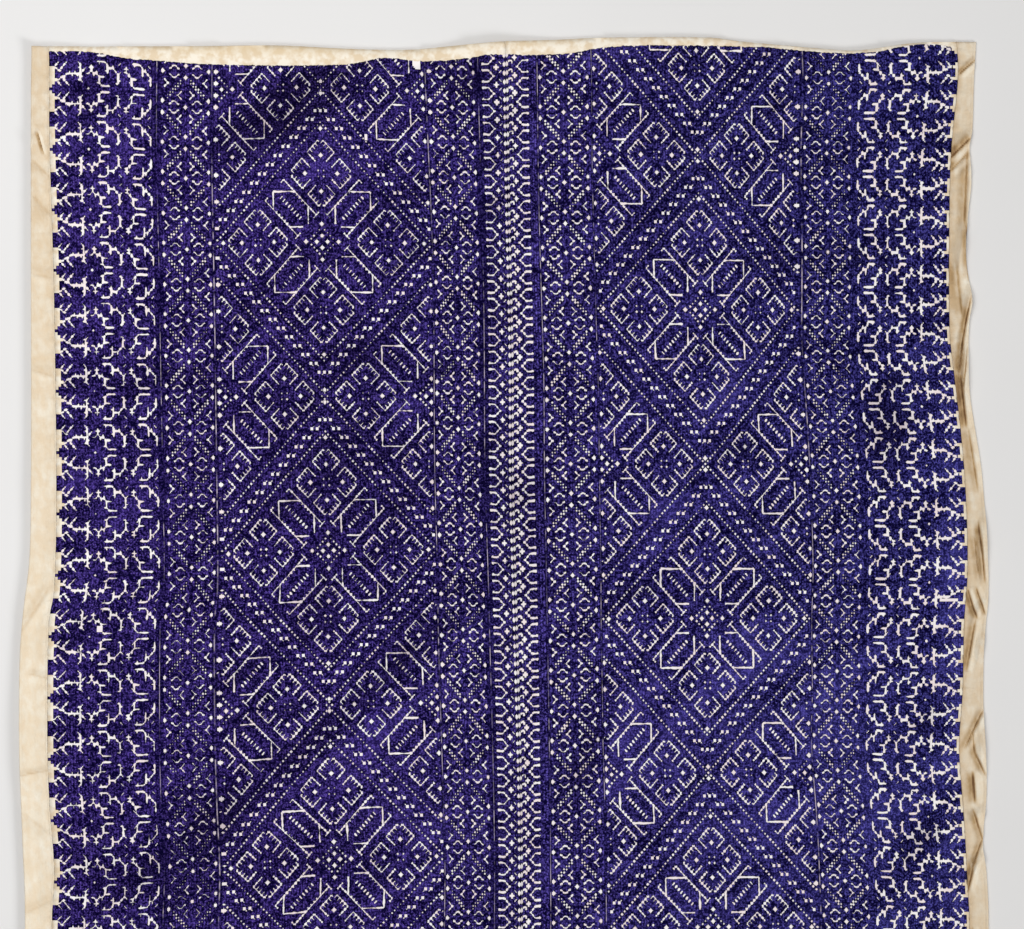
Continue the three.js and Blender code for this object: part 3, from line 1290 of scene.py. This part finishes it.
class Nodes:
    """Short ways to add the nodes of one material."""

    def __init__(self, name):
        self.material = bpy.data.materials.new(name)
        self.material.use_nodes = True
        self.tree = self.material.node_tree
        self.shader = self.tree.nodes["Principled BSDF"]
        self.place = self.tree.nodes.new("ShaderNodeTexCoord").outputs["Object"]

    def link(self, source, target):
        if hasattr(source, "links"):
            self.tree.links.new(source, target)
        else:
            target.default_value = source

    def math(self, operation, *values, clamp=False):
        node = self.tree.nodes.new("ShaderNodeMath")
        node.operation = operation
        node.use_clamp = clamp
        for value, target in zip(values, node.inputs):
            self.link(value, target)
        return node.outputs[0]

    def times(self, first, second):
        return self.math("MULTIPLY", first, second)

    def plus(self, first, second):
        return self.math("ADD", first, second)

    def minus(self, first, second):
        return self.math("SUBTRACT", first, second)

    # The value times the scale plus the shift
    def fit(self, value, scale, shift, clamp=False):
        return self.math("MULTIPLY_ADD", value, scale, shift, clamp=clamp)

    def most(self, first, second):
        return self.math("MAXIMUM", first, second)

    def size(self, value):
        return self.math("ABSOLUTE", value)

    def above(self, value, limit):
        return self.math("GREATER_THAN", value, limit)

    def whole(self, value, step):
        return self.math("FLOOR", self.math("DIVIDE", value, step))

    # One where the value is within the spread of the wanted one, otherwise zero
    def near(self, value, wanted, spread=0.5):
        return self.math("COMPARE", value, float(wanted), spread)

    def mix(self, share, low, high):
        node = self.tree.nodes.new("ShaderNodeMix")
        node.data_type = "RGBA"
        self.link(share, node.inputs[0])
        self.link(low, node.inputs[6])
        self.link(high, node.inputs[7])
        return node.outputs[2]

    def attribute(self, name):
        node = self.tree.nodes.new("ShaderNodeAttribute")
        node.attribute_name = name
        return node.outputs["Fac"]

    def split(self, vector):
        node = self.tree.nodes.new("ShaderNodeSeparateXYZ")
        self.link(vector, node.inputs[0])
        return node.outputs

    # Noise over the piece, drawn out and turned where asked
    def noise(self, scale, detail, stretch=None, turn=0.0):
        place = self.place
        if stretch:
            mapping = self.tree.nodes.new("ShaderNodeMapping")
            mapping.vector_type = "TEXTURE"
            mapping.inputs["Rotation"].default_value = (0.0, 0.0, math.radians(turn))
            mapping.inputs["Scale"].default_value = stretch
            self.link(place, mapping.inputs["Vector"])
            place = mapping.outputs["Vector"]
        node = self.tree.nodes.new("ShaderNodeTexNoise")
        node.inputs["Scale"].default_value = scale
        node.inputs["Detail"].default_value = detail
        self.link(place, node.inputs["Vector"])
        return node.outputs["Fac"]

    def ramp(self, value, low, high):
        node = self.tree.nodes.new("ShaderNodeMapRange")
        node.inputs["From Min"].default_value = low
        node.inputs["From Max"].default_value = high
        self.link(value, node.inputs["Value"])
        return node.outputs["Result"]

    # Patches of noise, from zero at the low value to one at the high value
    def patches(self, scale, detail, low, high, stretch=None, turn=0.0):
        return self.ramp(self.noise(scale, detail, stretch, turn), low, high)

    def bump(self, height, distance, strength):
        node = self.tree.nodes.new("ShaderNodeBump")
        node.inputs["Strength"].default_value = strength
        node.inputs["Distance"].default_value = distance
        self.link(height, node.inputs["Height"])
        self.link(node.outputs["Normal"], self.shader.inputs["Normal"])

    def finish(self, base, roughness):
        self.link(base, self.shader.inputs["Base Color"])
        self.shader.inputs["Roughness"].default_value = roughness
        return self.material


# Half the width of a stroke and how soft its sides are, the reach of the painted shade round it, half a worn
# thread, in steps
STROKE_HALF = 0.34
STROKE_SOFTNESS = 0.16
HALO_SHADE_REACH = 0.35
LINE_HALF = 0.12
# Half a dot from corner to corner, how steep its sides are, and how far it widens as the strokes do
DOT_HALF = 0.32
DOT_SLOPE = 0.7
DOT_WIDENING = 0.8
# Added to the depth of a form: out of play in all cells, back again where the cell has it, or all bare there
NO_FORM = -2.0
FORM = 2.0
FILLED = 3.0


# Place in a stitch cell, from its middle, and the code of that cell
def stitch_cell(nodes):
    uv = nodes.tree.nodes.new("ShaderNodeUVMap")
    uv.uv_map = "Stitch"
    across, down = nodes.split(uv.outputs["UV"])[:2]
    second_column = nodes.above(across, 1.0)
    second_row = nodes.above(down, 1.0)
    x = nodes.minus(nodes.minus(across, second_column), 0.5)
    y = nodes.minus(nodes.plus(second_row, 0.5), down)
    upper = nodes.attribute("CellsA")
    lower = nodes.attribute("CellsB")
    pair = nodes.fit(nodes.minus(lower, upper), second_row, upper)
    right_code = nodes.whole(pair, float(CODE_STEP))
    left_code = nodes.fit(right_code, -float(CODE_STEP), pair)
    return x, y, nodes.fit(nodes.minus(right_code, left_code), second_column, left_code)


# Depth inside the bare strokes of a cell, in steps: above zero where the cloth shows
def stroke_depth(nodes, x, y, code, width_change):
    taper = nodes.above(code, TAPER - 0.5)
    full = nodes.plus(width_change, STROKE_HALF)
    narrowing = nodes.times(taper, nodes.times(full, -1.0))
    total = nodes.plus(x, y)
    difference = nodes.minus(y, x)
    side_x, side_y, side_total, side_difference = [nodes.size(value) for value in (x, y, total, difference)]
    half_root = math.sqrt(0.5)
    axes = (
        (x, side_x, 2.0, side_y, 1.0, (1, 0)),
        (y, side_y, 2.0, side_x, 1.0, (0, -1)),
        (total, side_total, 1.0, side_difference, half_root, (1, -1)),
        (difference, side_difference, 1.0, side_total, half_root, (-1, -1)),
    )
    depth = nodes.fit(nodes.above(code, BARE - 0.5), FILLED, NO_FORM)
    for along, length, length_scale, aside, aside_scale, way in axes:
        bit = ARMS[way]
        back_bit = ARMS[(-way[0], -way[1])]
        power = nodes.fit(nodes.above(along, 0.0), float(bit - back_bit), float(back_bit))
        arm = nodes.math("MODULO", nodes.whole(code, power), 2.0)
        from_edge = nodes.fit(length, -length_scale, 1.0)
        half = nodes.fit(from_edge, narrowing, full)
        inside = nodes.fit(aside, -aside_scale, half)
        depth = nodes.most(depth, nodes.plus(inside, nodes.fit(arm, FORM, NO_FORM)))
    # A dot, for a cell that has the taper alone
    dot = nodes.fit(nodes.plus(side_x, side_y), -DOT_SLOPE, DOT_HALF + NO_FORM)
    dot = nodes.fit(nodes.near(code, TAPER), FORM, dot)
    return nodes.most(depth, nodes.fit(width_change, DOT_WIDENING, dot))


# Colours of the silk, violet for the left side and then blue for the right, with its painted sheen, glints
# and shade, of the strokes and their painted shade, and of the cotton, with the painted shade of hem edges
# and creases
SILK_DARK = colour(2, 0, 36)
SILK_SHADE_AND_STAIN = colour(5, 0, 26)
SILK_BODY = (colour(46, 28, 106), colour(40, 36, 108))
SILK_SHEEN = (colour(78, 58, 154), colour(74, 70, 158))
SILK_GLINT = (colour(126, 100, 214), colour(118, 112, 222))
SILK_WORN = colour(190, 176, 190)
STROKE = (colour(246, 230, 230), colour(255, 252, 250))
STROKE_SHADE_AND_STAIN = colour(120, 104, 128)
HEM = (colour(232, 212, 182), colour(250, 241, 224))
HEM_EDGE_SHADE = colour(224, 200, 160)
COTTON = (colour(245, 237, 220), colour(231, 215, 189))
COTTON_MOTTLE = colour(232, 208, 174)
COTTON_SHADE = colour(188, 156, 112)
COTTON_CREASE_SHADE = colour(112, 78, 44)
FLOOR = (colour(230, 229, 228), colour(236, 235, 234))


# Silk in raised stitches, with painted highlights where they glint one by one, painted shade between them,
# and painted sheen and shade in light and dark streaks
def silk_colour(nodes, stitch, painted_sheen, shade_and_stain):
    bluer = nodes.ramp(nodes.split(nodes.place)[0], low=-0.1, high=0.2)
    broad = nodes.patches(scale=16, detail=3, low=0.2, high=0.8)
    body = nodes.mix(broad, SILK_DARK, nodes.mix(bluer, *SILK_BODY))
    # Painted sheen brightens the body of the silk
    body = nodes.mix(nodes.times(painted_sheen, 0.8), body, nodes.mix(bluer, *SILK_SHEEN))
    # Painted highlights: the chance that a stitch glints, and the glint on it
    chance = nodes.patches(scale=1000, detail=1, low=0.4, high=0.64)
    chance = nodes.times(chance, nodes.patches(scale=2200, detail=0, low=0.2, high=0.5))
    shine = nodes.times(chance, stitch)
    silk = nodes.mix(nodes.times(shine, 0.75), body, nodes.mix(bluer, *SILK_GLINT))
    # Painted shade between the stitches, less where they glint and where the painted sheen is
    shade = nodes.times(nodes.fit(chance, -0.5, 0.95), nodes.minus(1.0, shine))
    shade = nodes.times(shade, nodes.fit(painted_sheen, -0.35, 1.0))
    silk = nodes.mix(shade, silk, SILK_DARK)
    # Painted shade of the folds, and the stain, darken the silk
    return nodes.mix(nodes.times(shade_and_stain, 0.6), silk, SILK_SHADE_AND_STAIN)


def embroidered_cloth():
    nodes = Nodes("embroidered_cloth")
    fine = nodes.noise(scale=640, detail=1)
    grain = nodes.noise(scale=240, detail=1)
    x, y, code = stitch_cell(nodes)
    thread, cord, ground = [nodes.near(code, wanted) for wanted in (THREAD, CORD, GROUND)]
    groove = nodes.minus(nodes.near(code, GROOVE + 1, 1.5), cord)

    # Bare cloth: the strokes, wider or narrower by chance and by wear, and the hems past the silk
    by_chance = nodes.fit(fine, 0.5, nodes.fit(grain, 0.7, -0.6))
    width_change = nodes.plus(by_chance, nodes.attribute("Wear"))
    depth = stroke_depth(nodes, x, y, code, width_change)
    depth = nodes.fit(nodes.near(code, GROUND + 1.5, 2.0), -FILLED, depth)
    hem = nodes.fit(nodes.attribute("Silk"), -1.0, nodes.fit(fine, 1.2, -0.6))
    depth = nodes.most(depth, hem)
    depth = nodes.most(depth, nodes.fit(ground, FILLED, NO_FORM))
    plain, bare = [nodes.fit(value, 1 / STROKE_SOFTNESS, 0.5, clamp=True) for value in (hem, depth)]
    halo_shade = nodes.fit(depth, 1 / HALO_SHADE_REACH, 1.0, clamp=True)

    # Silk: one raised stitch to a cell, ridges in the upright lines, and painted sheen and shade, with one
    # stain, in slanting streaks
    across_stitch = nodes.math("COSINE", nodes.times(x, math.pi))
    along_stitch = nodes.size(nodes.math("COSINE", nodes.times(y, 2 * math.pi)))
    stitch = nodes.fit(nodes.times(across_stitch, nodes.most(along_stitch, cord)), 0.7, 0.3)
    streaks = nodes.noise(scale=95, detail=2, stretch=(3.5, 1.0, 1.0), turn=36)
    # Painted light of the silk: painted sheen above zero, painted shade of the folds and the stain below zero
    tone = nodes.fit(streaks, 2.2, nodes.attribute("Tone"))
    tone = nodes.fit(nodes.noise(scale=130, detail=2), 1.0, nodes.minus(tone, 1.6))
    shade_and_stain = nodes.ramp(tone, low=0.0, high=-1.0)
    silk = silk_colour(nodes, stitch, nodes.ramp(tone, low=0.0, high=1.0), shade_and_stain)
    # Painted shade round the bare strokes
    silk = nodes.mix(nodes.times(halo_shade, 0.85), silk, SILK_DARK)
    # Painted shade in the grooves of the upright lines
    silk = nodes.mix(nodes.times(groove, 0.35), silk, SILK_DARK)
    line_shows = nodes.times(thread, nodes.math("LESS_THAN", nodes.size(x), LINE_HALF))
    line_shows = nodes.times(line_shows, nodes.ramp(grain, low=0.4, high=0.6))
    line_shows = nodes.times(line_shows, nodes.patches(scale=22, detail=1, low=0.4, high=0.55))
    silk = nodes.mix(line_shows, silk, SILK_WORN)

    # Cream: the strokes, darkened by the painted shade of the folds and by the stain, and the mottled hems,
    # with painted tan shade along their edges
    stroke = nodes.mix(nodes.patches(scale=110, detail=2, low=0.35, high=0.65), *STROKE)
    # Painted shade of the folds, and the stain, dull the strokes
    stroke = nodes.mix(nodes.times(shade_and_stain, 0.4), stroke, STROKE_SHADE_AND_STAIN)
    cotton = nodes.mix(nodes.patches(scale=260, detail=2, low=0.38, high=0.62), *HEM)
    # Painted tan shade along the outer edges of the hems
    outer = nodes.ramp(nodes.attribute("Silk"), low=-4.0, high=-8.0)
    cotton = nodes.mix(nodes.times(outer, 0.5), cotton, HEM_EDGE_SHADE)
    cream = nodes.mix(nodes.most(plain, ground), stroke, cotton)
    raised = nodes.times(nodes.minus(1.0, bare), nodes.fit(stitch, 0.45, 0.55))
    nodes.bump(raised, distance=0.0005, strength=0.7)
    nodes.shader.inputs["Specular IOR Level"].default_value = 0.015
    return nodes.finish(nodes.mix(bare, silk, cream), roughness=0.6)


# Plain cotton, mottled, with painted shade: creamier where the painted shade is slight, deeper tan where it
# is strong in the creases
def plain_cotton():
    nodes = Nodes("plain_cotton")
    weft = nodes.noise(scale=900, detail=1, stretch=(2.6, 1.0, 1.0))
    warp = nodes.noise(scale=900, detail=1, stretch=(1.0, 2.6, 1.0))
    slub = nodes.noise(scale=150, detail=2)
    base = nodes.mix(nodes.patches(scale=60, detail=3, low=0.3, high=0.75), *COTTON)
    mottled = nodes.patches(scale=320, detail=3, low=0.34, high=0.62, stretch=(1.0, 1.8, 1.0), turn=10)
    base = nodes.mix(nodes.times(mottled, 0.5), base, COTTON_MOTTLE)
    # Painted shade of the strips, broken up by the mottle
    shade = nodes.times(nodes.attribute("Shade"), nodes.fit(mottled, 0.3, 0.85))
    base = nodes.mix(nodes.ramp(shade, low=0.0, high=1.0), base, COTTON_SHADE)
    base = nodes.mix(nodes.ramp(shade, low=0.9, high=1.6), base, COTTON_CREASE_SHADE)
    nodes.bump(nodes.fit(slub, 1.5, nodes.plus(weft, warp)), distance=0.0004, strength=0.6)
    return nodes.finish(base, roughness=0.9)


def pale_floor():
    nodes = Nodes("pale_floor")
    return nodes.finish(nodes.mix(nodes.noise(scale=8, detail=2), *FLOOR), roughness=0.9)


half_gap = PIECE_GAP / 2
left_width = Width(
    name="left_width_cloth",
    left=line(LEFT_SEAM, half_gap),
    right=line(MIDDLE_SEAM, -half_gap),
    steps=LEFT_STEPS,
    band_lines=LEFT_BAND_LINES,
    row_lines=LEFT_ROWS,
    band_wear=LEFT_BAND_WEAR,
    tree_first=0,
    codes=left_chart(),
)
right_width = Width(
    name="right_width_cloth",
    left=line(MIDDLE_SEAM, half_gap),
    right=line(RIGHT_SEAM, -half_gap),
    steps=RIGHT_STEPS,
    band_lines=RIGHT_BAND_LINES,
    row_lines=RIGHT_ROWS,
    band_wear=RIGHT_BAND_WEAR,
    tree_first=RIGHT_STEPS - TREE_COLUMNS,
    codes=right_chart(),
)
cloth_material = embroidered_cloth()
cotton_material = plain_cotton()


# Puckers that the sewing draws in, a raised stitched rim at the seam, and the line of the turned outer edge
PUCKER_SPACING = 8.5
PUCKER_REACH = 8
PUCKER_RISE = 0.5
PUCKER_DRIFT = 6
PUCKER_DRIFT_LENGTH = 23
RIM_RISE = 0.55
RIM_REACH = 1.3
TURNING = 1.8
TURNING_DEPTH = 0.3
TURNING_REACH = 0.8
EDGE_LIFT = 2.2
EDGE_LIFT_REACH = 7
RIGHT_FOLD_SHARE = 0.8
# Painted shade beside the seam of the right strip, and how far it reaches
SEAM_SHADE = 0.35
SEAM_SHADE_REACH = 3.5

# Painted tan shade of the two strips down the panel
STRIP_SHADE = table(
    "down left right",
    (0, 0.34, 0.16),
    (60, 0.28, 0.26),
    (150, 0.18, 0.26),
    (300, 0.06, 0.24),
    (446, 0, 0.2),
    (700, 0.1, 0.26),
    (950, 0.06, 0.22),
)


# Puckers along a seam, at slightly uneven spaces
def puckers(from_seam, down):
    place = down + PUCKER_DRIFT * np.sin(down / PUCKER_DRIFT_LENGTH)
    wave = np.cos(place * 2 * math.pi / PUCKER_SPACING)
    return PUCKER_RISE * np.clip(wave, 0, 1) ** 2 * bump(from_seam, PUCKER_REACH)


def strip_surface(from_seam, from_edge, down):
    rim = RIM_RISE * bump(from_seam, RIM_REACH)
    turning = -TURNING_DEPTH * bump(from_edge - TURNING, TURNING_REACH)
    return rim + turning + puckers(from_seam, down)


def left_strip_rise(across, down):
    surface = strip_surface(left_seam(down) - across, across - left_edge(down), down)
    curl = soft_patches(LEFT_EDGING_FOLDS, "rise", across, down)
    lift = EDGE_LIFT * bump(across - left_edge(down), EDGE_LIFT_REACH)
    height, shade = creased(LEFT_CREASES, across, down)
    # Painted shade of the creases and of the whole strip
    shade = shade + table_value(STRIP_SHADE, "down", "left", down)
    return np.maximum(cloth_rise(across, down) + curl + lift + height, 0), surface, shade


def right_strip_rise(across, down):
    from_seam = across - right_seam(down)
    surface = strip_surface(from_seam, right_edge(down) - across, down)
    folds = RIGHT_FOLD_SHARE * soft_patches(RIGHT_EDGING_FOLDS, "rise", across, down)
    height, shade = creased(RIGHT_CREASES, across, down)
    # Painted shade of the creases, of the whole strip and beside its seam
    shade = shade + table_value(STRIP_SHADE, "down", "right", down)
    shade = shade + SEAM_SHADE * bump(from_seam, SEAM_SHADE_REACH)
    return np.maximum(cloth_rise(across, down) + folds + height, 0), surface, shade


def finish_piece(piece, material, node):
    piece.data.materials.append(material)
    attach(piece, "root")
    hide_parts(node)


# Each piece with its material and the node that it stands for
finish_piece(width_piece(left_width), cloth_material, "left_width")
finish_piece(width_piece(right_width), cloth_material, "right_width")
left_strip = strip_piece("left_strip", left_edge, line(LEFT_SEAM, -half_gap), left_strip_rise)
right_strip = strip_piece("right_strip", line(RIGHT_SEAM, half_gap), right_edge, right_strip_rise)
finish_piece(left_strip, cotton_material, "left_edging")
finish_piece(right_strip, cotton_material, "right_edging")

# Floor, light and camera
FLOOR_SIDE = 6.0
FLOOR_HEIGHT = -0.0002
PHOTO_WIDTH = 1024
PHOTO_HEIGHT = 929
MM_PER_PIXEL = 0.5
PIXEL_ACROSS = 504.5
PIXEL_DOWN = 38


def add_floor():
    half = FLOOR_SIDE / 2
    corners = [(-half, -half, 0), (half, -half, 0), (half, half, 0), (-half, half, 0)]
    floor = new_object("floor", corners, [(0, 1, 2, 3)])
    floor.location.z = FLOOR_HEIGHT
    floor.data.materials.append(pale_floor())


def add_light(name, place, target, side, power):
    data = bpy.data.lights.new(name, "AREA")
    data.shape = "SQUARE"
    data.size = side
    data.energy = power
    lamp = bpy.data.objects.new(name, data)
    lamp.location = place
    lamp.rotation_euler = (Vector(target) - Vector(place)).to_track_quat("-Z", "Y").to_euler()
    bpy.context.scene.collection.objects.link(lamp)


def add_camera():
    centre_across = (PHOTO_WIDTH / 2 - PIXEL_ACROSS) * MM_PER_PIXEL
    centre_down = (PHOTO_HEIGHT / 2 - PIXEL_DOWN) * MM_PER_PIXEL
    target = to_frame(centre_across, centre_down, 0)
    data = bpy.data.cameras.new("camera")
    data.lens = 100
    data.sensor_width = 36
    distance = PHOTO_WIDTH * MM_PER_PIXEL * MM * data.lens / data.sensor_width
    camera = bpy.data.objects.new("camera", data)
    camera.location = (target[0], target[1], distance)
    bpy.context.scene.collection.objects.link(camera)
    bpy.context.scene.camera = camera


def add_world(strength):
    world = bpy.data.worlds.new("soft_room")
    world.use_nodes = True
    background = world.node_tree.nodes["Background"]
    background.inputs["Color"].default_value = (1.0, 1.0, 1.0, 1.0)
    background.inputs["Strength"].default_value = strength
    bpy.context.scene.world = world


add_floor()
add_light("key", place=(4.5, -3.2, 3.1), target=(0, 0.2, 0), side=2.0, power=195)
add_light("fill", place=(-0.42, 0.48, 1.1), target=(-0.12, 0.12, 0), side=0.9, power=9.1)
add_world(strength=0.26)
add_camera()
bpy.context.scene.view_settings.view_transform = "Standard"
